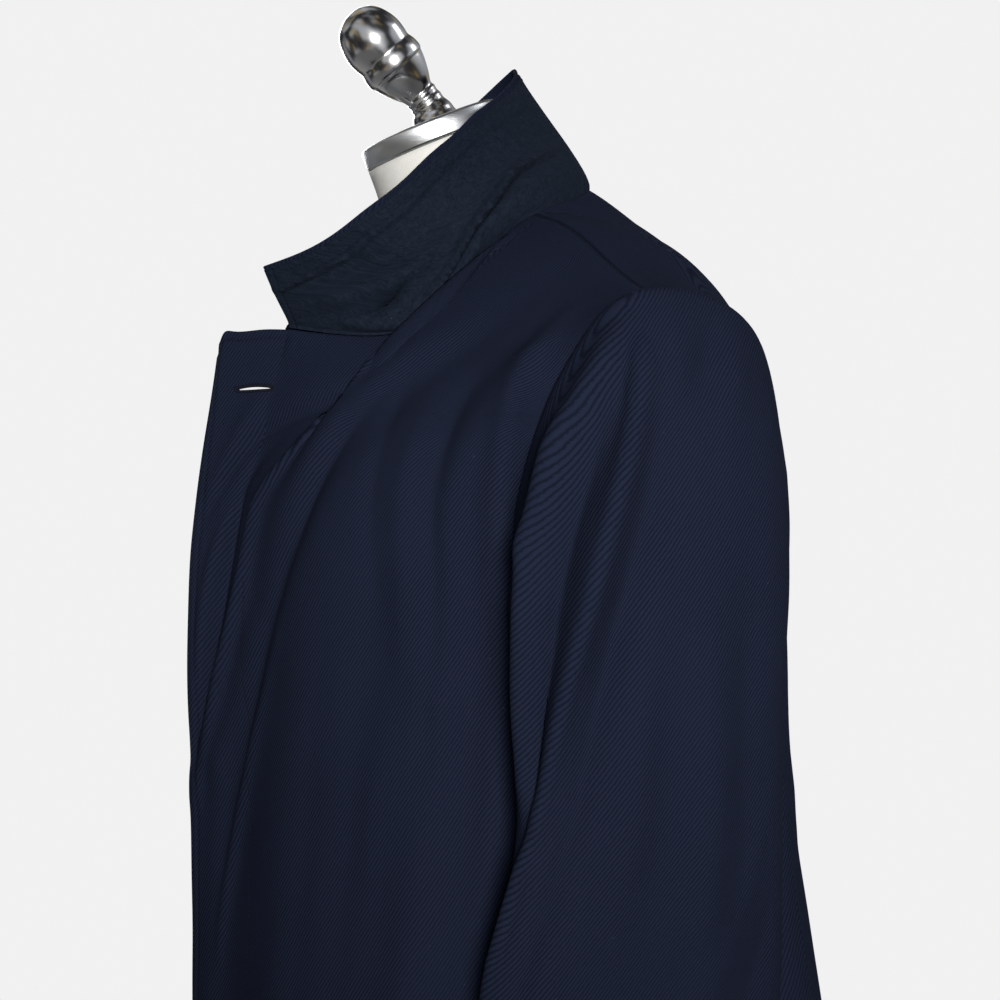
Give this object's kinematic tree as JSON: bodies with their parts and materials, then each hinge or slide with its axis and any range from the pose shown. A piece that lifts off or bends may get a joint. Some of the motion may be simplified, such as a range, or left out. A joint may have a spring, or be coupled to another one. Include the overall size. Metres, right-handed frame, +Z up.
{
  "type": "wool overcoat on a dress form",
  "caption": "Single-breasted wool overcoat worn open with its collar turned up, on a limbless dress form with a metal neck finial and a round-based stand.",
  "frame": {"origin": "centre of the underside of the stand's base, on the floor", "axes": "+Z up; +X the wearer's left; -Y the way the wearer faces"},
  "size_m": [0.5814, 0.4578, 1.6603],
  "materials": {
    "wool_twill": "matte wool twill",
    "undercollar_felt": "matte felt",
    "form_linen": "matte linen",
    "polished_nickel": "polished",
    "brushed_ring": "brushed",
    "painted_stand": "satin",
    "horn_button": "satin"
  },
  "bodies": {
    "root": {"coat_front_left": "wool_twill", "coat_back_left": "wool_twill", "sleeve_left_top": "wool_twill", "sleeve_left_under": "wool_twill", "coat_front_right": "wool_twill", "coat_back_right": "wool_twill", "sleeve_right_top": "wool_twill", "sleeve_right_under": "wool_twill", "top_collar": "wool_twill", "undercollar": "undercollar_felt", "button_1": "horn_button", "button_2": "horn_button", "button_3": "horn_button", "button_4": "horn_button", "form_torso": "form_linen", "form_neck_cap": "brushed_ring", "form_finial": "polished_nickel", "stand_pole": "painted_stand", "stand_base": "painted_stand"}
  },
  "joints": []
}
